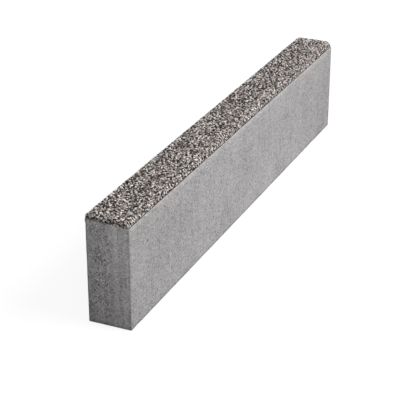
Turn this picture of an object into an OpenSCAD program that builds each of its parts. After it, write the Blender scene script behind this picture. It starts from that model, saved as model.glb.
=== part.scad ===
// Straight kerb stone pressed from concrete, with a granite facing on top.
// The length runs along X, the front face looks to -Y and the bed face lies on Z = 0.
// The origin is the middle of the bed face.

/* [Stone] */
// Length of the stone
stone_length = 1000; // [300:10:1200]
// Width from the front face to the back face
stone_width = 80; // [60:1:180]
// Height from the bed face to the top
stone_height = 200; // [120:5:400]

/* [Facing] */
// Depth of the granite facing below the top
facing_depth = 14; // [8:1:40]
// Radius of the rounded front top edge
front_edge_radius = 14; // [3:1:30]
// Width of the ledge that the press stamp leaves below the rounded edge
stamp_ledge = 2; // [0.5:0.5:6]

/* [Arrises] */
// Chamfer on the remaining edges
arris = 2; // [0.5:0.5:5]

/* [Hidden] */

// Number of sides of the rounded edge in previews
$fn = 96;

// Height of the plane where the facing lies on the body, which is also the ledge's height
facing_seat = stone_height - facing_depth;
// The rounding ends on the ledge at the latest
edge_radius = min(front_edge_radius, facing_depth);
// Front and back faces
front_y = -stone_width / 2;
back_y = stone_width / 2;
// Foot of the facing above the ledge, and the axis of the rounding
facing_front_y = front_y + stamp_ledge;
rounding_y = facing_front_y + edge_radius;
rounding_z = stone_height - edge_radius;

// Rectangle from corner a to corner b with chamfers of size c
module chamfered_rectangle(a, b, c) {
  polygon([
    [a.x + c, a.y], [b.x - c, a.y], [b.x, a.y + c], [b.x, b.y - c],
    [b.x - c, b.y], [a.x + c, b.y], [a.x, b.y - c], [a.x, a.y + c]
  ]);
}

// Section of the body below the facing, in (y, z)
module body_section() {
  polygon([
    [front_y + arris, 0], [back_y - arris, 0], [back_y, arris],
    [back_y, facing_seat], [front_y, facing_seat], [front_y, arris]
  ]);
}

// Section of the facing with its rounded front edge and chamfered back edge, in (y, z)
module facing_section() {
  polygon([
    [facing_front_y, facing_seat], [back_y, facing_seat], [back_y, stone_height - arris],
    [back_y - arris, stone_height], [rounding_y, stone_height], [rounding_y, rounding_z],
    [facing_front_y, rounding_z]
  ]);
  intersection() {
    translate([rounding_y, rounding_z]) circle(r = edge_radius);
    translate([facing_front_y, rounding_z]) square(edge_radius);
  }
}

// A section (y, z) drawn out along the stone
module along_stone() {
  rotate([90, 0, 90])
    linear_extrude(height = stone_length, center = true) children();
}

// The stone's bounding block with chamfers round both ends
module end_chamfers() {
  intersection() {
    linear_extrude(height = stone_height)
      chamfered_rectangle([-stone_length / 2, front_y], [stone_length / 2, back_y], arris);
    rotate([90, 0, 0])
      linear_extrude(height = stone_width, center = true)
        chamfered_rectangle([-stone_length / 2, 0], [stone_length / 2, stone_height], arris);
  }
}

// Grey backing concrete, from the bed face up to the facing
module concrete_body() {
  color([0.63, 0.62, 0.62])
    intersection() {
      along_stone() body_section();
      end_chamfers();
    }
}

// Facing concrete with exposed granite chips, pressed onto the body
module granite_facing() {
  color([0.50, 0.47, 0.46])
    intersection() {
      along_stone() facing_section();
      end_chamfers();
    }
}

concrete_body();
granite_facing();
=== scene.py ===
"""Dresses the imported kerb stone: grey concrete, a washed facing of granite chips and a plain studio."""

import math

import bpy
import numpy as np
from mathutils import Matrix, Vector
from mathutils.kdtree import KDTree


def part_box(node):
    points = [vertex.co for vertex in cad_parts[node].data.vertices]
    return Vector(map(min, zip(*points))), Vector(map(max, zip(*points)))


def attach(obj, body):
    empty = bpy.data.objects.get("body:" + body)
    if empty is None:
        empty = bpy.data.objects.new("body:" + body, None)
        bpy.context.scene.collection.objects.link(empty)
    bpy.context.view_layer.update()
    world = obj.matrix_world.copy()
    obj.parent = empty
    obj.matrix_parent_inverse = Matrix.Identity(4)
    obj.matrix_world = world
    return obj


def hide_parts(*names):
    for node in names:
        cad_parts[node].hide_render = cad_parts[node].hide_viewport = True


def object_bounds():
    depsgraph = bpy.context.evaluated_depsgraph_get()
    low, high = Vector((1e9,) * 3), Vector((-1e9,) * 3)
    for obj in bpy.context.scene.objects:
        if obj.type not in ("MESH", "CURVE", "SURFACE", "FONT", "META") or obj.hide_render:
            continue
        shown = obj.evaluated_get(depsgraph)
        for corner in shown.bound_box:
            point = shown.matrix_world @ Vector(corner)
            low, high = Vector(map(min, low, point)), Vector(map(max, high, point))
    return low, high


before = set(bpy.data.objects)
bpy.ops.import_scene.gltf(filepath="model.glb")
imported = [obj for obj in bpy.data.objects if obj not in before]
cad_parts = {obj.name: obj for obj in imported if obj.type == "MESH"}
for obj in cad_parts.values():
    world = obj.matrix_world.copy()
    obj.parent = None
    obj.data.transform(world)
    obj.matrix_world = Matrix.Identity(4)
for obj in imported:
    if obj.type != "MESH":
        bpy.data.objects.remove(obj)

bl_info = {
    "name": "Kerb Stone",
    "version": (1, 0, 0),
    "blender": (4, 5, 0),
    "location": "View3D > Sidebar > Kerb",
    "description": "Models a concrete kerb stone with a washed granite facing on its top",
    "category": "Object",
}

PASTE = "kerb_facing_paste"
MM = 0.001

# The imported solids, which every piece takes its place from
STONE_LOW, STONE_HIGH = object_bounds()
BODY_LOW, BODY_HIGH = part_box("concrete_body")
FACING_LOW, FACING_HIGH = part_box("granite_facing")
STONE_LENGTH = STONE_HIGH.x - STONE_LOW.x
FACING_DEPTH = FACING_HIGH.z - FACING_LOW.z
# The rounded front edge is as deep as the facing, and turns about a line above the ledge
ROUNDING = FACING_DEPTH
ROUNDING_Y = FACING_LOW.y + ROUNDING
ROUNDING_Z = FACING_HIGH.z - ROUNDING
ROUNDING_ARC = ROUNDING * math.pi / 2
FLAT_WIDTH = FACING_HIGH.y - ROUNDING_Y
AROUND_TOP = ROUNDING_ARC + FLAT_WIDTH
FACING_WIDTH = FACING_HIGH.y - FACING_LOW.y
# Where the long faces are lightest, and how far from there they begin and cease to darken
LIGHTEST_X = 80 * MM
DARKENING = (150 * MM, 550 * MM)
# Where the ends are coarsest, and how far from there the coarse band has gone and is whole
COARSE_Y = 15 * MM
COARSE_BAND = (21 * MM, 6 * MM)
# Angle between two faces up to which they are shaded as one
SMOOTH_ANGLE = math.radians(25)
# A pattern that isn't stretched
EVEN = (1, 1, 1)

# What the properties of a kind share
LENGTH = {"subtype": "DISTANCE", "unit": "LENGTH", "precision": 5}
PLACE = {"subtype": "TRANSLATION", "unit": "LENGTH"}
ANGLE = {"subtype": "ANGLE", "unit": "ROTATION"}
COLOUR = {"subtype": "COLOR", "min": 0, "max": 1}


class KerbBody(bpy.types.PropertyGroup):
    """Sizes and colours of the concrete body"""

    arris: bpy.props.FloatProperty(
        name="Arris",
        description="Width of the worn bevel on the outer edges",
        default=1.8 * MM,
        **LENGTH,
    )
    ledge_arris: bpy.props.FloatProperty(
        name="Ledge arris",
        description="Width of the bevel along the ledge under the facing",
        default=0.5 * MM,
        **LENGTH,
    )
    unevenness: bpy.props.FloatProperty(
        name="Unevenness",
        description="How far the arrises stray from a straight line",
        default=0.25 * MM,
        **LENGTH,
    )
    end_holes: bpy.props.IntProperty(
        name="Air holes on an end",
        description="Number of air holes in each end face",
        default=90,
        min=1,
    )
    side_holes: bpy.props.IntProperty(
        name="Air holes on a side",
        description="Number of air holes in each long face",
        default=330,
        min=1,
    )
    hole_radius: bpy.props.FloatProperty(
        name="Air hole radius",
        description="Radius of the widest air holes",
        default=1.7 * MM,
        **LENGTH,
    )
    knocks: bpy.props.IntProperty(
        name="Knocks",
        description="Number of small knocks along the arrises",
        default=130,
        min=1,
    )
    knock_radius: bpy.props.FloatProperty(
        name="Knock radius",
        description="Radius of the largest knocks",
        default=3.5 * MM,
        **LENGTH,
    )
    colour: bpy.props.FloatVectorProperty(
        name="Concrete colour",
        description="Colour of the smooth concrete skin",
        default=(0.398, 0.385, 0.387),
        **COLOUR,
    )
    broken_colour: bpy.props.FloatVectorProperty(
        name="Broken colour",
        description="Colour inside air holes and knocks",
        default=(0.17, 0.165, 0.165),
        **COLOUR,
    )


class KerbFacing(bpy.types.PropertyGroup):
    """Sizes and colours of the granite facing"""

    groove: bpy.props.FloatProperty(
        name="Groove",
        description="Height of the bare paste between the ledge and the lowest chips",
        default=2.4 * MM,
        **LENGTH,
    )
    wash_depth: bpy.props.FloatProperty(
        name="Wash depth",
        description="How far the cement paste is washed out between the chips",
        default=2.0 * MM,
        **LENGTH,
    )
    foot_depth: bpy.props.FloatProperty(
        name="Wash depth at the ledge",
        description="How far the paste is washed out at the foot of the rounded edge",
        default=0.7 * MM,
        **LENGTH,
    )
    back_strip: bpy.props.FloatProperty(
        name="Washed strip at the back",
        description="Depth of the washed strip on the ends and the back, at the back arris",
        default=9.0 * MM,
        **LENGTH,
    )
    front_strip: bpy.props.FloatProperty(
        name="Washed strip at the front",
        description="Depth of the washed strip on the ends, at the front",
        default=12.0 * MM,
        **LENGTH,
    )
    ragged: bpy.props.FloatProperty(
        name="Ragged edge",
        description="How far the lower edge of the washed strip strays",
        default=2.5 * MM,
        **LENGTH,
    )
    largest_chip: bpy.props.FloatProperty(
        name="Largest chip",
        description="Radius of the largest chips",
        default=2.5 * MM,
        **LENGTH,
    )
    smallest_chip: bpy.props.FloatProperty(
        name="Smallest chip",
        description="Radius of the smallest chips",
        default=0.9 * MM,
        **LENGTH,
    )
    spacing: bpy.props.FloatProperty(
        name="Chip spacing",
        description="Distance between chips, as a share of the distance at which they touch",
        default=1.0,
        min=0.5,
        max=2,
    )
    edge_spacing: bpy.props.FloatProperty(
        name="Chip spacing on the edge",
        description="The same on the rounded edge, the ends and the back, where the mould is tight",
        default=0.8,
        min=0.5,
        max=2,
    )
    # The paste colour is darker than cement paste, so that it also paints the shade in the gaps between
    # the chips
    paste_and_gap_shade_colour: bpy.props.FloatVectorProperty(
        name="Paste colour",
        description="Colour of the cement paste between the chips",
        default=(0.048, 0.044, 0.042),
        **COLOUR,
    )
    seed: bpy.props.IntProperty(
        name="Seed",
        description="Start of the random draws for the chips",
        default=5,
    )


class KerbStage(bpy.types.PropertyGroup):
    """Camera, floor and lamps"""

    camera_place: bpy.props.FloatVectorProperty(
        name="Camera place",
        description="Where the camera stands",
        default=(-2.1467, -0.8963, 1.1130),
        **PLACE,
    )
    camera_heading: bpy.props.FloatProperty(
        name="Camera heading",
        description="Turn of the camera about the vertical, from looking along +Y",
        default=math.radians(-66.02),
        **ANGLE,
    )
    camera_tilt: bpy.props.FloatProperty(
        name="Camera tilt",
        description="How far the camera looks down",
        default=math.radians(25.23),
        **ANGLE,
    )
    lens: bpy.props.FloatProperty(
        name="Lens",
        description="Focal length of the camera in millimetres",
        default=117.0,
    )
    sky: bpy.props.FloatProperty(
        name="Sky",
        description="Strength of the even light from all round",
        default=0.45,
        min=0,
    )
    key_power: bpy.props.FloatProperty(
        name="Key lamp",
        description="Power of the large lamp before the front face",
        default=357.0,
        min=0,
        unit="POWER",
    )
    key_place: bpy.props.FloatVectorProperty(
        name="Key lamp place",
        description="Where the large lamp hangs",
        default=(1.0, -4.5, 4.4),
        **PLACE,
    )
    fill_power: bpy.props.FloatProperty(
        name="Fill lamp",
        description="Power of the weak lamp before the left end",
        default=33.0,
        min=0,
        unit="POWER",
    )
    fill_place: bpy.props.FloatVectorProperty(
        name="Fill lamp place",
        description="Where the weak lamp hangs",
        default=(-4.5, -2.5, 2.5),
        **PLACE,
    )
    back_power: bpy.props.FloatProperty(
        name="Back lamp",
        description="Power of the low lamp behind the stone",
        default=88.0,
        min=0,
        unit="POWER",
    )
    back_place: bpy.props.FloatVectorProperty(
        name="Back lamp place",
        description="Where the low lamp hangs",
        default=(1.6, 4.6, 1.4),
        **PLACE,
    )
    lamp_size: bpy.props.FloatProperty(
        name="Lamp size",
        description="Width of each lamp",
        default=3.6,
        min=0,
        subtype="DISTANCE",
        unit="LENGTH",
    )
    floor_colour: bpy.props.FloatVectorProperty(
        name="Floor colour",
        description="Colour of the floor as the camera sees it",
        default=(0.2, 0.2, 0.2),
        **COLOUR,
    )
    floor_glow: bpy.props.FloatProperty(
        name="Floor glow",
        description="Light that the floor shows the camera, so that it reads as white",
        default=0.84,
        min=0,
    )
    floor_bounce: bpy.props.FloatProperty(
        name="Floor bounce",
        description="Share of the light that the floor sends back to the stone",
        default=0.25,
        min=0,
        max=1,
    )


class Wire:
    """An output of a material's nodes. Arithmetic on it adds Math nodes."""

    def __init__(self, paint, socket):
        self.paint = paint
        self.socket = socket

    def combine(self, operation, first, second):
        return self.paint.node("ShaderNodeMath", {"operation": operation}, {0: first, 1: second})

    def __add__(self, other):
        return self.combine("ADD", self, other)

    def __radd__(self, other):
        return self.combine("ADD", other, self)

    def __sub__(self, other):
        return self.combine("SUBTRACT", self, other)

    def __rsub__(self, other):
        return self.combine("SUBTRACT", other, self)

    def __mul__(self, other):
        return self.combine("MULTIPLY", self, other)

    def __rmul__(self, other):
        return self.combine("MULTIPLY", other, self)


class Paint:
    """The nodes of a material or of the world."""

    def __init__(self, owner):
        owner.use_nodes = True
        self.owner = owner
        self.tree = owner.node_tree

    def put(self, socket, value):
        """Links a wire to an input, or sets the input to a constant."""
        if isinstance(value, Wire):
            self.tree.links.new(value.socket, socket)
        else:
            socket.default_value = value

    def node(self, kind, settings=None, inputs=None, output=0):
        """Adds a node with its settings, then the values or links of its inputs."""
        made = self.tree.nodes.new(kind)
        for name, value in (settings or {}).items():
            setattr(made, name, value)
        for name, value in (inputs or {}).items():
            self.put(made.inputs[name], value)
        return Wire(self, made.outputs[output])

    def seen(self):
        """One for rays that carry a picture to the camera, nought for rays that light something."""
        camera, glossy, transmission = (
            self.node("ShaderNodeLightPath", output=name)
            for name in ("Is Camera Ray", "Is Glossy Ray", "Is Transmission Ray")
        )
        return self.node("ShaderNodeClamp", None, {"Value": camera + glossy + transmission})


class Finish(Paint):
    """A material in the making, read on Object coordinates."""

    def __init__(self, name):
        super().__init__(bpy.data.materials.new(name))
        self.shader = self.tree.nodes["Principled BSDF"]
        self.place = self.node("ShaderNodeTexCoord", output="Object")
        self.x, self.y, self.z = (
            self.node("ShaderNodeSeparateXYZ", None, {0: self.place}, axis) for axis in ("X", "Y", "Z")
        )

    def noise(self, size, detail, stretch=EVEN):
        """Noise from 0 to 1 with features of about this size, in metres."""
        vector = self.node("ShaderNodeVectorMath", {"operation": "MULTIPLY"}, {0: self.place, 1: stretch})
        inputs = {"Vector": vector, "Scale": 1 / size, "Detail": detail}
        return self.node("ShaderNodeTexNoise", None, inputs)

    def cells(self, size):
        """A random number from 0 to 1 for each grain of about this size, in metres."""
        inputs = {"Vector": self.place, "Scale": 1 / size}
        colour = self.node("ShaderNodeTexVoronoi", None, inputs, "Color")
        return self.node("ShaderNodeSeparateColor", None, {"Color": colour}, "Red")

    def pinholes(self, size, widest, rim):
        """Nought inside round pinholes, one elsewhere. Each grain of about this size, in metres, has one.
        Its widest radius and half its soft rim are shares of the size."""
        inputs = {"Vector": self.place, "Scale": 1 / size}
        distance = self.node("ShaderNodeTexVoronoi", None, inputs, "Distance")
        return self.rise(distance - self.cells(size) * widest, -rim, rim)

    def magnitude(self, value):
        """A value without its sign."""
        return self.node("ShaderNodeMath", {"operation": "ABSOLUTE"}, {0: value})

    def rise(self, value, start, end):
        """Rises from 0 to 1 while a value goes from start to end."""
        return self.node("ShaderNodeMapRange", None, {"Value": value, "From Min": start, "From Max": end})

    def approach(self, value, edge, fade):
        """Rises from 0 to 1 as a value comes up to an edge, between two distances from it."""
        begin, full = fade
        return self.rise(value, edge - begin, edge - full)

    def mix(self, share, first, second):
        """A colour between two others."""
        return self.node("ShaderNodeMix", {"data_type": "RGBA"}, {0: share, 6: first, 7: second}, 2)

    def shade(self, colour, factor):
        """A colour made lighter or darker by a factor."""
        return self.node("ShaderNodeVectorMath", {"operation": "SCALE"}, {0: colour, "Scale": factor})

    def bump(self, height, depth):
        """A normal from a height between 0 and 1, with its depth in metres."""
        return self.node("ShaderNodeBump", None, {"Height": height, "Distance": depth})

    def finish(self, colour, roughness, normal=None, gloss=0.3):
        """Feeds the shader and returns the material."""
        self.put(self.shader.inputs["Base Color"], colour)
        self.put(self.shader.inputs["Roughness"], roughness)
        self.shader.inputs["Specular IOR Level"].default_value = gloss
        if normal is not None:
            self.put(self.shader.inputs["Normal"], normal)
        return self.owner


def opaque(colour):
    """A colour with full alpha, for a colour socket."""
    return (*colour, 1.0)


# Distances from a face between which its own look fades in
FACE_FADE = (0.7 * MM, 0.2 * MM)
# The same for the painted shade on the upright arrises, from the ends and from the long faces
ARRIS_FADE_X = (2.6 * MM, 1.6 * MM)
ARRIS_FADE_Y = (4.2 * MM, 2 * MM)
# The noise in the concrete's brightness: size, detail and stretch,
# then its strength on all faces, on the ends and in the coarse patches of the ends
CONCRETE_NOISE = {
    "clouds": (90 * MM, 3, EVEN, 0.34, 0.0, 0.0),
    "blotches": (17 * MM, 4, EVEN, 0.3, 0.4, 0.0),
    "mould streaks": (7 * MM, 2, (1, 1, 0.08), 0.2, 0.9, 0.0),
    "sand": (2.8 * MM, 2, EVEN, 1.4, 0.0, 2.2),
    "grit": (1.2 * MM, 1, EVEN, 1.0, 0.0, 4.0),
}
# The same from single grains: their size and strength
GRAINS = (2 * MM, 0.42)
# Fine pores: their spacing, widest radius and rim as shares of it, and the brightness of the painted shade
# inside them
PORES = (5.5 * MM, 0.14, 0.03)
PORE_SHADE = 0.62
# Coarse patches on the ends: size and detail of their noise, and where it begins and is full
PATCHES = (24 * MM, 2)
PATCH_RISE = (0.4, 0.58)
# Changes in brightness: a pale lime film with a painted highlight under the ledge, darkening along the
# long faces, painted shade on the upright arrises and a painted contact shadow at the foot
BLOOM_AND_HIGHLIGHT = 0.2
BLOOM_AND_HIGHLIGHT_HEIGHT = 12 * MM
SIDE_DARKENING = 0.11
ARRIS_PAINTED_SHADE = 0.16
FOOT_PAINTED_SHADOW = 0.24
FOOT_HEIGHTS = (6 * MM, 1 * MM)
# Painted shade on the ends: how much darker an end is at the foot of its back, and how much it gains
# upwards and forwards
END_SHADE = 0.325
END_UPWARD = 0.3
END_FORWARD = 0.22
# Least brightness before these changes
DARKEST_TONE = 0.3


def near_ends(paint):
    """One on the two end faces, nought elsewhere."""
    return paint.approach(paint.magnitude(paint.x), BODY_HIGH.x, FACE_FADE)


def upright_arrises(paint):
    """One along the four upright arrises, nought elsewhere."""
    at_end = paint.approach(paint.magnitude(paint.x), BODY_HIGH.x, ARRIS_FADE_X)
    return at_end * paint.approach(paint.magnitude(paint.y), BODY_HIGH.y, ARRIS_FADE_Y)


def concrete_tone(paint):
    """Brightness of pressed concrete: clouds, blotches, streaks of the mould, sand, grit, and fine pores
    with painted shade inside.
    The long faces have a pale lime film with a painted highlight just below the ledge, and darken away
    from their lightest place.
    The ends have a band of coarse patches, and painted shade makes them darker towards the bed and the
    back.
    Upright arrises carry painted shade, and the foot a painted contact shadow."""
    ends = near_ends(paint)
    sides = 1 - ends
    band = paint.rise(paint.magnitude(paint.y - COARSE_Y), *COARSE_BAND)
    coarse = paint.rise(paint.noise(*PATCHES), *PATCH_RISE) * band
    grain_size, grain_strength = GRAINS
    wave = (paint.cells(grain_size) - 0.5) * grain_strength
    patchy = 0.0
    for size, detail, stretch, everywhere, on_ends, in_patches in CONCRETE_NOISE.values():
        noise = paint.noise(size, detail, stretch) - 0.5
        wave = wave + noise * everywhere
        patchy = patchy + noise * (coarse * in_patches + on_ends)
    uneven = 1 + wave + ends * patchy
    tone = paint.node("ShaderNodeMath", {"operation": "MAXIMUM"}, {0: uneven, 1: DARKEST_TONE})
    # A pale lime film with a painted highlight just below the ledge on the long faces
    bloom_and_highlight = paint.rise(paint.z, BODY_HIGH.z - BLOOM_AND_HIGHLIGHT_HEIGHT, BODY_HIGH.z) * sides * BLOOM_AND_HIGHLIGHT
    upward = paint.rise(paint.z, BODY_LOW.z, FACING_HIGH.z)
    forward = paint.rise(paint.y, BODY_HIGH.y, BODY_LOW.y)
    # Painted shade: the ends are darker towards the bed and the back
    painted_end_shade = ends * (upward * END_UPWARD + forward * END_FORWARD - END_SHADE)
    # The long faces grow darker away from their lightest place
    side_darkening = paint.rise(paint.magnitude(paint.x - LIGHTEST_X), *DARKENING) * sides * SIDE_DARKENING
    # Painted shade along the upright arrises, and a painted contact shadow at the foot
    foot = paint.rise(paint.z, *(BODY_LOW.z + height for height in FOOT_HEIGHTS))
    painted_arris_and_foot_shade = upright_arrises(paint) * ARRIS_PAINTED_SHADE + foot * FOOT_PAINTED_SHADOW
    # Painted shade inside the fine pores
    pores = PORE_SHADE + paint.pinholes(*PORES) * (1 - PORE_SHADE)
    return tone * (1 + bloom_and_highlight + painted_end_shade - side_darkening - painted_arris_and_foot_shade) * pores


def concrete_paint(look):
    """Smooth grey concrete skin."""
    paint = Finish("grey_concrete")
    tone = concrete_tone(paint)
    colour = paint.shade(look.colour, tone)
    relief = paint.noise(1.8 * MM, 3) * 0.6 + paint.noise(9 * MM, 2) * 0.4 + tone * 0.6
    roughness = 0.82 + paint.noise(12 * MM, 2) * 0.14
    return paint.finish(colour, roughness, paint.bump(relief, 0.6 * MM))


def broken_paint(look):
    """Rough inside of air holes and knocks, with grains of sand."""
    paint = Finish("broken_concrete")
    grains = paint.cells(1.1 * MM)
    colour = paint.shade(look.broken_colour, 0.75 + grains * 0.5)
    return paint.finish(colour, 0.95, paint.bump(paint.noise(0.8 * MM, 3), 0.3 * MM))


def strip_depth(look, y):
    """Depth of the washed strip below the top, on the ends at this y and on the back."""
    slope = (look.front_strip - look.back_strip) / FACING_WIDTH
    return look.back_strip + (FACING_HIGH.y - y) * slope


# How much lighter the paste is on the ends and the back, where a film of cement is left
FILM = 1.6
# Distance over which the washed strip turns into the concrete skin
STRIP_FADE = 0.6 * MM


def paste_paint(look, concrete):
    """Washed cement paste with sand, its dark colour also painting the shade in the gaps between the
    chips. Below the washed strip a concrete skin, with the concrete's painted shade, still covers it.
    """
    paint = Finish("washed_paste")
    grains = paint.cells(0.9 * MM)
    stain = paint.noise(14 * MM, 3)
    skin = paint.shade(concrete.colour, concrete_tone(paint))
    strip = strip_depth(look, paint.y)
    stray = (paint.noise(4.5 * MM, 3) - 0.5) * (4 * look.ragged)
    below = paint.rise(FACING_HIGH.z - paint.z - strip + stray, -STRIP_FADE, STRIP_FADE)
    at_back = paint.approach(paint.y, FACING_HIGH.y, FACE_FADE)
    edges = paint.node("ShaderNodeClamp", None, {"Value": near_ends(paint) + at_back})
    # Dark paste that paints the shade in the gaps between the chips, lighter where a cement film is left
    washed = paint.shade(look.paste_and_gap_shade_colour, (0.45 + grains * 0.7 + stain * 0.5) * (1 + edges * FILM))
    colour = paint.mix(below * edges, washed, skin)
    return paint.finish(colour, 0.93, paint.bump(paint.noise(1.1 * MM, 3), 0.5 * MM), 0.1)


# The kinds of chip: share of the stones, darkest and lightest colour, size of the crystals and gloss
CHIP_KINDS = {
    # The dark chips are blacker than granite, and partly paint the shade in the gaps between the chips
    "dark": (0.32, (0.014, 0.013, 0.0125), (0.06, 0.055, 0.052), 0.9 * MM, 0.15),
    "grey": (0.14, (0.16, 0.142, 0.134), (0.33, 0.294, 0.28), 1.1 * MM, 0.3),
    "rose": (0.17, (0.25, 0.206, 0.188), (0.46, 0.386, 0.356), 1.2 * MM, 0.3),
    "pale": (0.37, (0.43, 0.392, 0.374), (0.82, 0.762, 0.734), 1.3 * MM, 0.3),
}

# Shapes of chip: how many, and the fewest and most breaks
CHIP_STONES = (24, 5, 9)
# Sizes of chip: how many, and tries for the largest and the smallest as shares of area over radius squared
CHIP_SIZES = 6
CHIP_TRIES = (0.22, 1.1)
# Length, width and thickness of a chip as shares of its radius, and how far it may lean
CHIP_LENGTH = (1.05, 1.55)
CHIP_WIDTH = (0.65, 1.0)
CHIP_THICKNESS = 0.9
CHIP_LEAN = math.radians(28)
# How high the middle of a chip lies above the paste, as a share of its radius
CHIP_RISE = (0.05, 0.35)
# How far chips stand proud of the solid at most, on the top and on the other faces
TOP_PROUD = (-0.7 * MM, 0.25 * MM)
SIDE_PROUD = (-0.1 * MM, 0.22 * MM)
# How far chips may pass the edges of their patch, and reach into the groove above the ledge
OVERHANG = 0.2 * MM
GROOVE_REACH = 0.6 * MM
# The lower edge of the washed strip: number of waves, their lengths, and how far single chips stray
STRIP_WAVES = 4
STRIP_WAVE_LENGTHS = (7 * MM, 28 * MM)
STRIP_SCATTER = 0.8
# How far chips on an end keep inside the rounded edge, and away from the back top corner
ROUNDING_MARGIN = 1.2 * MM
CORNER_MARGIN = 4 * MM
# A chip whose place is within this of the back lies on it
BACK_MARGIN = 0.1 * MM
# How many chips, itself included, a chip's kind is set against, and how often
NEIGHBOURS = 8
PASSES = 4
# How far a chip has to reach into the paste, and the number of the kind that is left out
LEAST_HOLD = 0.1 * MM
WASHED_OUT = -1


def chip_paint(kind):
    """Granite of one kind. Each chip has its own tone, broken up by crystals."""
    _, darkest, lightest, crystal, gloss = CHIP_KINDS[kind]
    paint = Finish(kind + "_granite")
    tone = paint.node("ShaderNodeAttribute", {"attribute_name": "tone"}, None, "Fac")
    own = paint.mix(tone, opaque(darkest), opaque(lightest))
    crystals = paint.cells(crystal)
    colour = paint.shade(own, 0.72 + crystals * 0.56)
    roughness = 0.5 + paint.cells(crystal * 1.5) * 0.35
    return paint.finish(colour, roughness, paint.bump(paint.noise(0.7 * MM, 2), 0.15 * MM), gloss)


def deselect_all():
    """Leaves edit mode and selects nothing."""
    if bpy.context.object and bpy.context.object.mode != "OBJECT":
        bpy.ops.object.mode_set(mode="OBJECT")
    bpy.ops.object.select_all(action="DESELECT")


def add_block(name, low, high):
    """A block between two corners, with its place in its mesh."""
    deselect_all()
    bpy.ops.mesh.primitive_cube_add(size=1, location=(low + high) / 2)
    block = bpy.context.object
    block.name = name
    block.scale = high - low
    bpy.ops.object.transform_apply(location=True, rotation=True, scale=True)
    return block


def unselect_mesh(mode):
    """Selects nothing of the active mesh, so that code can select its edges or its points."""
    bpy.ops.object.mode_set(mode="EDIT")
    bpy.ops.mesh.select_mode(type=mode)
    bpy.ops.mesh.select_all(action="DESELECT")
    bpy.ops.object.mode_set(mode="OBJECT")


def select_edges(piece, wanted):
    """Opens the piece for editing with only those edges selected whose two ends pass the test."""
    unselect_mesh("EDGE")
    points = [vertex.co for vertex in piece.data.vertices]
    for edge in piece.data.edges:
        first, second = edge.vertices
        edge.select = wanted(points[first], points[second])
    bpy.ops.object.mode_set(mode="EDIT")


def near(value, target):
    """True if two lengths are the same to a hundredth of a millimetre."""
    return abs(value - target) < 0.01 * MM


def edges_at(**levels):
    """A test that both ends of an edge lie at these levels, such as z=0."""

    def test(*ends):
        return all(near(getattr(end, axis), level) for end in ends for axis, level in levels.items())

    return test


def bevel_edges(piece, wanted, width, segments):
    """Bevels the edges whose two ends pass the test."""
    select_edges(piece, wanted)
    bpy.ops.mesh.bevel(offset=width, segments=segments, affect="EDGES")
    bpy.ops.object.mode_set(mode="OBJECT")


def divide_edges(piece, axis, longer, cuts):
    """Divides the edges along an axis that are longer than a length."""

    def along(first, second):
        span = second - first
        return abs(span[axis]) > longer and near(span.length, abs(span[axis]))

    select_edges(piece, along)
    bpy.ops.mesh.subdivide(number_cuts=cuts)
    bpy.ops.object.mode_set(mode="OBJECT")


def cut_away(piece, place, normal):
    """Planes off what lies beyond a plane, and closes the cut."""
    bpy.ops.object.mode_set(mode="EDIT")
    bpy.ops.mesh.select_all(action="SELECT")
    bpy.ops.mesh.bisect(plane_co=place, plane_no=normal, use_fill=True, clear_outer=True)
    bpy.ops.object.mode_set(mode="OBJECT")


def mesh_piece(name, points, faces):
    """A new object from arrays of points and faces."""
    mesh = bpy.data.meshes.new(name)
    mesh.from_pydata(points.tolist(), [], faces.tolist())
    mesh.update()
    piece = bpy.data.objects.new(name, mesh)
    bpy.context.scene.collection.objects.link(piece)
    return piece


def subtract(piece, cutter):
    """Cuts one mesh out of another. The cut faces keep the cutter's material."""
    deselect_all()
    piece.select_set(True)
    bpy.context.view_layer.objects.active = piece
    modifier = piece.modifiers.new("cut", "BOOLEAN")
    modifier.operation = "DIFFERENCE"
    modifier.solver = "EXACT"
    modifier.material_mode = "TRANSFER"
    modifier.object = cutter
    bpy.ops.object.modifier_apply(modifier=modifier.name)
    bpy.data.objects.remove(cutter)


def take_shape(piece):
    """The points and the triangles of a piece, centred, and the piece is removed."""
    bpy.ops.object.mode_set(mode="EDIT")
    bpy.ops.mesh.select_all(action="SELECT")
    bpy.ops.mesh.quads_convert_to_tris()
    bpy.ops.mesh.normals_make_consistent(inside=False)
    bpy.ops.object.mode_set(mode="OBJECT")
    points = np.array([vertex.co for vertex in piece.data.vertices])
    faces = np.array([face.vertices for face in piece.data.polygons])
    bpy.data.objects.remove(piece)
    return points - points.mean(0), faces


# A crushed stone: edge of its block, unevenness, distance of its breaks and least distance of its corners
STONE_BLOCK = 1.6
STONE_UNEVENNESS = 0.3
STONE_BREAKS = (0.5, 0.85)
STONE_CORNERS = 0.3


def crushed_stones(rng, count, fewest, most):
    """Shapes of angular stones of about unit radius: uneven blocks broken along random planes."""
    shapes = []
    for number in range(count):
        deselect_all()
        bpy.ops.mesh.primitive_cube_add(size=STONE_BLOCK)
        stone = bpy.context.object
        bpy.ops.object.mode_set(mode="EDIT")
        bpy.ops.transform.vertex_random(offset=STONE_UNEVENNESS, seed=number)
        for _ in range(rng.integers(fewest, most + 1)):
            normal = Vector(rng.normal(size=3)).normalized()
            cut_away(stone, normal * rng.uniform(*STONE_BREAKS), normal)
        bpy.ops.object.mode_set(mode="EDIT")
        bpy.ops.mesh.select_all(action="SELECT")
        bpy.ops.mesh.remove_doubles(threshold=STONE_CORNERS)
        bpy.ops.mesh.convex_hull(use_existing_faces=False, join_triangles=False)
        shapes.append(take_shape(stone))
    return shapes


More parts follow.
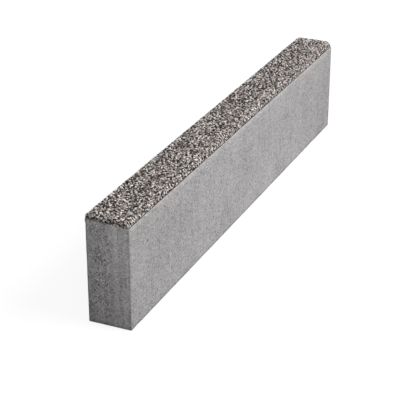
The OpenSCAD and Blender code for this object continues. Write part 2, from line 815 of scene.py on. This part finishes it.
def dented_balls(count):
    """Shapes of uneven bubbles of about unit radius."""
    shapes = []
    for number in range(count):
        deselect_all()
        bpy.ops.mesh.primitive_ico_sphere_add(subdivisions=2, radius=1)
        ball = bpy.context.object
        bpy.ops.object.mode_set(mode="EDIT")
        bpy.ops.transform.vertex_random(offset=0.16, seed=number)
        shapes.append(take_shape(ball))
    return shapes


def turned(angle, first, second):
    """Rotation matrices that turn one axis towards another."""
    matrices = np.tile(np.eye(3), (len(angle), 1, 1))
    matrices[:, first, first] = np.cos(angle)
    matrices[:, first, second] = -np.sin(angle)
    matrices[:, second, first] = np.sin(angle)
    matrices[:, second, second] = np.cos(angle)
    return matrices


def random_turns(rng, count, tilt):
    """Rotation matrices: any turn about the third axis, after a tilt of up to this angle."""
    turn = rng.uniform(0, 2 * math.pi, count)
    lean = rng.uniform(-tilt, tilt, count)
    spin = rng.uniform(0, 2 * math.pi, count)
    return turned(turn, 0, 1) @ turned(lean, 1, 2) @ turned(spin, 0, 1)


def copies(stones, picks, shapes, places):
    """Points, triangles and owner of each point, for many stones, each picked, shaped and placed."""
    points, faces, owners = [], [], []
    start = 0
    for number, (corners, sides) in enumerate(stones):
        mine = np.flatnonzero(picks == number)
        moved = np.einsum("nij,kj->nki", shapes[mine], corners) + places[mine, None]
        first = start + len(corners) * np.arange(len(mine))
        points.append(moved.reshape(-1, 3))
        faces.append((sides[None] + first[:, None, None]).reshape(-1, 3))
        owners.append(np.repeat(mine, len(corners)))
        start += len(corners) * len(mine)
    return np.concatenate(points), np.concatenate(faces), np.concatenate(owners)


def scatter(rng, width, height, throws, spacing):
    """Throws discs onto a rectangle and keeps those that lie clear of the others. Throws is a list of
    radii, the largest first, each with a number of tries. Spacing below 1 lets discs overlap.
    Returns an array of places along the width and the height, with radii."""
    cell = 2 * throws[0][0]
    kept = {}
    found = []
    for radius, tries in throws:
        thrown = rng.uniform((0, 0), (width, height), (tries, 2))
        for u, v in thrown.tolist():
            column, row = int(u / cell), int(v / cell)
            around = [kept.get((column + i, row + j), ()) for i in (-1, 0, 1) for j in (-1, 0, 1)]
            clear = all(
                (u - a) ** 2 + (v - b) ** 2 > (spacing * (radius + r)) ** 2
                for discs in around
                for a, b, r in discs
            )
            if clear:
                kept.setdefault((column, row), []).append((u, v, radius))
                found.append((u, v, radius))
    return np.array(found)


def unlike_neighbours(rng, places):
    """A number from 0 to 1 for each place, evenly spread, that tends to differ from those around it."""
    tree = KDTree(len(places))
    for number, place in enumerate(places):
        tree.insert((*place, 0), number)
    tree.balance()
    around = np.array([[found[1] for found in tree.find_n((*place, 0), NEIGHBOURS)] for place in places])
    draws = rng.uniform(0, 1, len(places))
    for _ in range(PASSES):
        draws = np.argsort(np.argsort(draws - draws[around].mean(1))) / len(places)
    return draws


def seat(piece, paints, node=None):
    """Gives a piece its materials and body, and lets it stand for a solid."""
    piece.data.materials.clear()
    for paint in paints:
        piece.data.materials.append(paint)
    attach(piece, "root")
    if node:
        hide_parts(node)


# Start of the random draws for the body, and cuts across its long and its upright edges
BODY_SEED = 3
LONG_CUTS = 160
UPRIGHT_CUTS = 30
# Air holes: least distance from the edges, smallest radius as a share of the widest, and spacing
HOLE_MARGIN = 6 * MM
SMALLEST_HOLE = 0.2
HOLE_SPACING = 1.6
# Knocks: share along each axis, smallest radius as a share of the largest, offset outwards, and spacing
KNOCK_SHARES = (0.72, 0.08, 0.2)
SMALLEST_KNOCK = 0.35
KNOCK_OFFSET = (0.42, 0.52)
KNOCK_SPACING = 1.3
# Shapes of knock: how many, and the fewest and most breaks
KNOCK_STONES = (8, 3, 3)


class KERB_OT_concrete_body(bpy.types.Operator):
    """Casts the grey body with worn arrises, air holes and small knocks"""

    bl_idname = "kerb.concrete_body"
    bl_label = "Concrete body"

    def execute(self, context):
        look = context.scene.kerb_body
        rng = np.random.default_rng(BODY_SEED)
        skin = concrete_paint(look)
        broken = broken_paint(look)
        body = add_block("kerb_concrete_body", BODY_LOW, BODY_HIGH)
        top = BODY_HIGH.z
        under_facing = edges_at(z=top)
        bevel_edges(body, lambda *ends: not under_facing(*ends), look.arris, segments=2)
        bevel_edges(body, edges_at(y=BODY_LOW.y, z=top), look.ledge_arris, segments=1)
        divide_edges(body, 0, 0.5 * STONE_LENGTH, LONG_CUTS)
        divide_edges(body, 2, 0.5 * top, UPRIGHT_CUTS)
        self.roughen(body, look)
        body.data.materials.append(skin)
        for damage in (self.air_holes, self.knocks):
            cutter = damage(rng, look)
            cutter.data.materials.append(broken)
            subtract(body, cutter)
        bpy.ops.object.shade_smooth_by_angle(angle=SMOOTH_ANGLE)
        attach(body, "root")
        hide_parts("concrete_body")
        return {"FINISHED"}

    def roughen(self, body, look):
        """Lets the points of the arrises stray a little."""
        unselect_mesh("VERT")
        margin = 1.5 * look.arris
        for vertex in body.data.vertices:
            gaps = [min(vertex.co[i] - BODY_LOW[i], BODY_HIGH[i] - vertex.co[i]) for i in range(3)]
            on_bed = near(vertex.co.z, BODY_LOW.z)
            vertex.select = not on_bed and sum(gap < margin for gap in gaps) > 1
        bpy.ops.object.mode_set(mode="EDIT")
        bpy.ops.transform.vertex_random(offset=look.unevenness, seed=2)
        bpy.ops.object.mode_set(mode="OBJECT")

    def air_holes(self, rng, look):
        """Balls that cut shallow dishes into the ends and the long faces."""
        balls = dented_balls(6)
        faces = [
            (0, BODY_LOW.x, look.end_holes),
            (0, BODY_HIGH.x, look.end_holes),
            (1, BODY_LOW.y, look.side_holes),
            (1, BODY_HIGH.y, look.side_holes),
        ]
        places, radii = [], []
        for axis, level, count in faces:
            across = 1 - axis
            width = BODY_HIGH[across] - BODY_LOW[across] - 2 * HOLE_MARGIN
            height = BODY_HIGH.z - BODY_LOW.z - 2 * HOLE_MARGIN
            shares = SMALLEST_HOLE + (1 - SMALLEST_HOLE) * rng.uniform(0, 1, count) ** 3
            sizes = np.sort(look.hole_radius * shares)[::-1]
            spots = scatter(rng, width, height, [(size, 1) for size in sizes], HOLE_SPACING)
            place = np.zeros((len(spots), 3))
            place[:, axis] = level
            place[:, across] = BODY_LOW[across] + HOLE_MARGIN + spots[:, 0]
            place[:, 2] = BODY_LOW.z + HOLE_MARGIN + spots[:, 1]
            places.append(place)
            radii.append(spots[:, 2])
        return self.cutter(rng, "air_holes", balls, np.concatenate(places), np.concatenate(radii))

    def knocks(self, rng, look):
        """Angular stones that cut small flakes off the arrises."""
        stones = crushed_stones(rng, *KNOCK_STONES)
        low, high = np.array(BODY_LOW), np.array(BODY_HIGH)
        places, radii = [], []
        for _ in range(look.knocks):
            place = rng.uniform(low, high)
            along = rng.choice(3, p=KNOCK_SHARES)
            outward = np.zeros(3)
            for axis in range(3):
                if axis != along:
                    upper = rng.random() < 0.5 and axis != 2
                    place[axis] = high[axis] if upper else low[axis]
                    outward[axis] = 1 if upper else -1
            radius = look.knock_radius * rng.uniform(SMALLEST_KNOCK, 1)
            place += outward * radius * rng.uniform(*KNOCK_OFFSET)
            places.append(place)
            radii.append(radius)
        places, radii = self.keep_apart(np.array(places), np.array(radii))
        return self.cutter(rng, "knocks", stones, places, radii)

    def keep_apart(self, places, radii):
        """Leaves out each stone that would touch an earlier one."""
        kept = []
        for number in range(len(radii)):
            gaps = np.linalg.norm(places[kept] - places[number], axis=1)
            if (gaps > KNOCK_SPACING * (radii[kept] + radii[number])).all():
                kept.append(number)
        return places[kept], radii[kept]

    def cutter(self, rng, name, shapes, places, radii):
        """One mesh of these shapes, each picked and turned at random, with its place and radius."""
        turns = random_turns(rng, len(radii), math.pi) * radii[:, None, None]
        picks = rng.integers(len(shapes), size=len(radii))
        points, sides, _ = copies(shapes, picks, turns, places)
        return mesh_piece(name, points, sides)


# Flat left below the paste's rounding, and the sides of that rounding
ROUNDING_REST = 0.02 * MM
ROUNDING_SIDES = 12


class KERB_OT_facing_paste(bpy.types.Operator):
    """Lays the bed of cement paste that holds the chips"""

    bl_idname = "kerb.facing_paste"
    bl_label = "Facing paste"

    def execute(self, context):
        look = context.scene.kerb_facing
        depth = look.wash_depth
        low = FACING_LOW + Vector((0, look.foot_depth, 0))
        high = FACING_HIGH - Vector((0, 0, depth))
        paste = add_block(PASTE, low, high)
        rounding = ROUNDING - depth - ROUNDING_REST
        bevel_edges(paste, edges_at(y=low.y, z=high.z), rounding, segments=ROUNDING_SIDES)
        self.wash_ends(paste, look)
        bpy.ops.object.shade_smooth_by_angle(angle=SMOOTH_ANGLE)
        seat(paste, [paste_paint(look, context.scene.kerb_body)], "granite_facing")
        return {"FINISHED"}

    def wash_ends(self, paste, look):
        """Planes the upper part of both ends and the back, where the paste is washed out."""
        slant = look.wash_depth / look.back_strip
        foot = FACING_HIGH.z - look.back_strip
        cut_away(paste, (FACING_LOW.x, 0, foot), (-1, 0, slant))
        cut_away(paste, (FACING_HIGH.x, 0, foot), (1, 0, slant))
        cut_away(paste, (0, FACING_HIGH.y, foot), (0, 1, slant))


class KERB_OT_granite_chips(bpy.types.Operator):
    """Presses granite chips of several kinds into the paste"""

    bl_idname = "kerb.granite_chips"
    bl_label = "Granite chips"

    def execute(self, context):
        look = context.scene.kerb_facing
        arris = context.scene.kerb_body.arris
        rng = np.random.default_rng(look.seed)
        stones = crushed_stones(rng, *CHIP_STONES)
        end_strip = look.front_strip + look.ragged
        back_strip = look.back_strip + look.ragged
        patches = [
            (self.over_top, STONE_LENGTH, look.groove, ROUNDING_ARC, look.edge_spacing),
            (self.over_top, STONE_LENGTH, ROUNDING_ARC, AROUND_TOP, look.spacing),
            (self.on_left_end, FACING_WIDTH, arris, end_strip, look.edge_spacing),
            (self.on_right_end, FACING_WIDTH, arris, end_strip, look.edge_spacing),
            (self.on_back, STONE_LENGTH, arris, back_strip, look.edge_spacing),
        ]
        chips = [self.patch(rng, look, arris, stones, *patch) for patch in patches]
        for number, kind in enumerate(CHIP_KINDS):
            self.join(chips, number, kind)
        return {"FINISHED"}

    def over_top(self, u, v, h, arris):
        """A point above the rounded edge and the top, u along the stone and v up from the ledge."""
        edge = np.minimum(np.minimum(u, STONE_LENGTH - u), AROUND_TOP - v)
        h = h - np.clip(arris - edge, 0, None)
        angle = np.clip((ROUNDING_ARC - v) / ROUNDING, 0, None)
        reach = ROUNDING + h
        flat = v > ROUNDING_ARC
        y = np.where(flat, ROUNDING_Y + v - ROUNDING_ARC, ROUNDING_Y - reach * np.sin(angle))
        z = np.where(flat, FACING_HIGH.z + h, ROUNDING_Z + reach * np.cos(angle))
        return np.stack([STONE_LOW.x + u, y, z], -1)

    def on_left_end(self, u, v, h, arris):
        """A point before the left end, u from the front to the back and v down from the top."""
        h = h - np.clip(arris - np.minimum(v, FACING_WIDTH - u), 0, None)
        return np.stack([STONE_LOW.x - h, FACING_LOW.y + u, FACING_HIGH.z - v], -1)

    def on_right_end(self, u, v, h, arris):
        """A point before the right end, u from the back to the front and v down from the top."""
        h = h - np.clip(arris - np.minimum(v, u), 0, None)
        return np.stack([STONE_HIGH.x + h, FACING_HIGH.y - u, FACING_HIGH.z - v], -1)

    def on_back(self, u, v, h, arris):
        """A point behind the back, u along the stone and v down from the top."""
        h = h - np.clip(arris - np.minimum(v, np.minimum(u, STONE_LENGTH - u)), 0, None)
        return np.stack([STONE_LOW.x + u, FACING_HIGH.y + h, FACING_HIGH.z - v], -1)

    def washed(self, rng, look, u, places):
        """True where a chip on an end or the back shows: inside the section and above the ragged edge."""
        y, z = places[:, 1], places[:, 2]
        waves = [
            np.sin(2 * math.pi * (u / rng.uniform(*STRIP_WAVE_LENGTHS) + rng.uniform()))
            for _ in range(STRIP_WAVES)
        ]
        stray = sum(waves) / 2 + rng.uniform(-STRIP_SCATTER, STRIP_SCATTER, len(u))
        above = FACING_HIGH.z - z < strip_depth(look, y) + look.ragged * stray
        from_rounding = np.hypot(y - ROUNDING_Y, z - ROUNDING_Z)
        inside = (y > ROUNDING_Y) | (from_rounding < ROUNDING - ROUNDING_MARGIN)
        on_back = y > FACING_HIGH.y - BACK_MARGIN
        off_corner = FACING_HIGH.z - z + FACING_HIGH.y - y > CORNER_MARGIN
        return above & inside & (off_corner | on_back)

    def patch(self, rng, look, arris, stones, surface, width, start, end, spacing):
        """Points, triangles, kind and tone of the chips on one patch of the facing."""
        on_top = surface == self.over_top
        area = width * (end - start)
        radii = np.linspace(look.largest_chip, look.smallest_chip, CHIP_SIZES)
        tries = np.linspace(*CHIP_TRIES, CHIP_SIZES)
        throws = [(radius, int(share * area / radius**2)) for radius, share in zip(radii, tries)]
        u, v, radius = scatter(rng, width, end - start, throws, spacing).T
        v = v + start
        slope = np.sin(np.clip((ROUNDING_ARC - v) / ROUNDING, 0, None))
        bed = look.wash_depth + (look.foot_depth - look.wash_depth) * slope
        if not on_top:
            shown = self.washed(rng, look, u, surface(u, v, 0 * u, arris))
            u, v, radius = u[shown], v[shown], radius[shown]
            bed = look.wash_depth * np.clip(1 - v / look.back_strip, 0, 1)
        count = len(u)
        long = radius * rng.uniform(*CHIP_LENGTH, count)
        wide = radius * rng.uniform(*CHIP_WIDTH, count)
        sizes = np.stack([long, wide, radius * CHIP_THICKNESS], -1)
        shapes = random_turns(rng, count, CHIP_LEAN) @ (sizes[:, :, None] * np.eye(3))
        places = np.stack([u, v, radius * rng.uniform(*CHIP_RISE, count) - bed], -1)
        picks = rng.integers(len(stones), size=count)
        points, faces, owners = copies(stones, picks, shapes, places)
        proud = rng.uniform(*(TOP_PROUD if on_top else SIDE_PROUD), count)
        lowest, highest = (look.groove - GROOVE_REACH, AROUND_TOP) if on_top else (0, end)
        across = np.clip(points[:, 0], -OVERHANG, width + OVERHANG)
        along = np.clip(points[:, 1], lowest, highest + OVERHANG)
        above = np.minimum(points[:, 2], proud[owners])
        shares = np.cumsum([kind[0] for kind in CHIP_KINDS.values()])
        kinds = np.searchsorted(shares[:-1], unlike_neighbours(rng, np.stack([u, v], -1)), "right")
        tones = rng.uniform(0, 1, count)
        points = surface(across, along, above, arris)
        kinds[~self.held(points, owners)] = WASHED_OUT
        return points, faces, kinds[owners], tones[owners]

    def held(self, points, owners):
        """True for each chip that reaches into the paste, which is a convex block."""
        sides = bpy.data.objects[PASTE].data.polygons
        normals = np.array([side.normal for side in sides])
        centres = np.array([side.center for side in sides])
        beyond = (points @ normals.T - (normals * centres).sum(1)).max(1)
        nearest = np.full(owners.max() + 1, np.inf)
        np.minimum.at(nearest, owners, beyond)
        return nearest < -LEAST_HOLD

    def join(self, chips, number, kind):
        """One piece of all the chips of a kind."""
        points, faces, tones = [], [], []
        start = 0
        for places, sides, kinds, values in chips:
            own = kinds == number
            renumbered = np.cumsum(own) - 1 + start
            points.append(places[own])
            tones.append(values[own])
            faces.append(renumbered[sides[own[sides[:, 0]]]])
            start += own.sum()
        piece = mesh_piece("kerb_chips_" + kind, np.concatenate(points), np.concatenate(faces))
        tone = piece.data.attributes.new("tone", "FLOAT", "POINT")
        tone.data.foreach_set("value", np.concatenate(tones).astype(np.float32))
        seat(piece, [chip_paint(kind)])


class KERB_OT_stage(bpy.types.Operator):
    """Sets up the floor, the soft light and the camera"""

    bl_idname = "kerb.stage"
    bl_label = "Stage"

    def execute(self, context):
        look = context.scene.kerb_stage
        context.scene.view_settings.view_transform = "Standard"
        self.lay_floor(look)
        self.light_sky(context, look)
        self.hang_lamp("key_lamp", look.key_place, look.lamp_size, look.key_power)
        self.hang_lamp("fill_lamp", look.fill_place, look.lamp_size, look.fill_power)
        self.hang_lamp("back_lamp", look.back_place, look.lamp_size, look.back_power)
        self.place_camera(context, look)
        return {"FINISHED"}

    def lay_floor(self, look):
        deselect_all()
        bpy.ops.mesh.primitive_plane_add(size=40, location=(0, 0, BODY_LOW.z))
        floor = bpy.context.object
        floor.name = "studio_floor"
        paint = Paint(bpy.data.materials.new("pale_floor"))
        shown = paint.node("ShaderNodeBsdfDiffuse", None, {"Color": opaque(look.floor_colour)})
        glow = paint.node("ShaderNodeEmission", None, {"Strength": look.floor_glow})
        bounce = paint.node("ShaderNodeBsdfDiffuse", None, {"Color": opaque((look.floor_bounce,) * 3)})
        lit = paint.node("ShaderNodeAddShader", None, {0: shown, 1: glow})
        both = paint.node("ShaderNodeMixShader", None, {0: paint.seen(), 1: bounce, 2: lit})
        paint.put(paint.tree.nodes["Material Output"].inputs["Surface"], both)
        floor.data.materials.append(paint.owner)

    def light_sky(self, context, look):
        """An even sky that lights softly and shows as white."""
        paint = Paint(bpy.data.worlds.new("studio_sky"))
        background = paint.tree.nodes["Background"].inputs
        paint.put(background["Color"], opaque((1, 1, 1)))
        paint.put(background["Strength"], look.sky + paint.seen() * (1 - look.sky))
        context.scene.world = paint.owner

    def hang_lamp(self, name, place, size, power):
        """A large soft lamp that points at the stone, and that the camera doesn't see."""
        lamp = bpy.data.lights.new(name, "AREA")
        lamp.shape = "SQUARE"
        lamp.size = size
        lamp.energy = power
        holder = bpy.data.objects.new(name, lamp)
        holder.location = place
        centre = (STONE_LOW + STONE_HIGH) / 2
        holder.rotation_euler = (centre - Vector(place)).to_track_quat("-Z", "Y").to_euler()
        holder.visible_camera = False
        bpy.context.scene.collection.objects.link(holder)

    def place_camera(self, context, look):
        camera = bpy.data.cameras.new("photo_camera")
        camera.lens = look.lens
        camera.sensor_width = 36
        camera.clip_end = 100
        holder = bpy.data.objects.new("photo_camera", camera)
        holder.location = look.camera_place
        holder.rotation_euler = (math.pi / 2 - look.camera_tilt, 0, look.camera_heading)
        context.scene.collection.objects.link(holder)
        context.scene.camera = holder


class KERB_PT_panel(bpy.types.Panel):
    """Lists the steps that build the kerb stone"""

    bl_idname = "KERB_PT_panel"
    bl_label = "Kerb Stone"
    bl_space_type = "VIEW_3D"
    bl_region_type = "UI"
    bl_category = "Kerb"

    def draw(self, context):
        for group, steps in (
            ("kerb_stage", ["kerb.stage"]),
            ("kerb_body", ["kerb.concrete_body"]),
            ("kerb_facing", ["kerb.facing_paste", "kerb.granite_chips"]),
        ):
            settings = getattr(context.scene, group)
            box = self.layout.box()
            for name in settings.__annotations__:
                box.prop(settings, name)
            for step in steps:
                box.operator(step)


GROUPS = {"kerb_stage": KerbStage, "kerb_body": KerbBody, "kerb_facing": KerbFacing}
CLASSES = (
    *GROUPS.values(),
    KERB_OT_stage,
    KERB_OT_concrete_body,
    KERB_OT_facing_paste,
    KERB_OT_granite_chips,
    KERB_PT_panel,
)


def register():
    for each in CLASSES:
        bpy.utils.register_class(each)
    for name, group in GROUPS.items():
        setattr(bpy.types.Scene, name, bpy.props.PointerProperty(type=group))


def unregister():
    for name in GROUPS:
        delattr(bpy.types.Scene, name)
    for each in reversed(CLASSES):
        bpy.utils.unregister_class(each)


def main():
    register()
    bpy.ops.kerb.stage()
    bpy.ops.kerb.concrete_body()
    bpy.ops.kerb.facing_paste()
    bpy.ops.kerb.granite_chips()


if __name__ == "__main__":
    main()
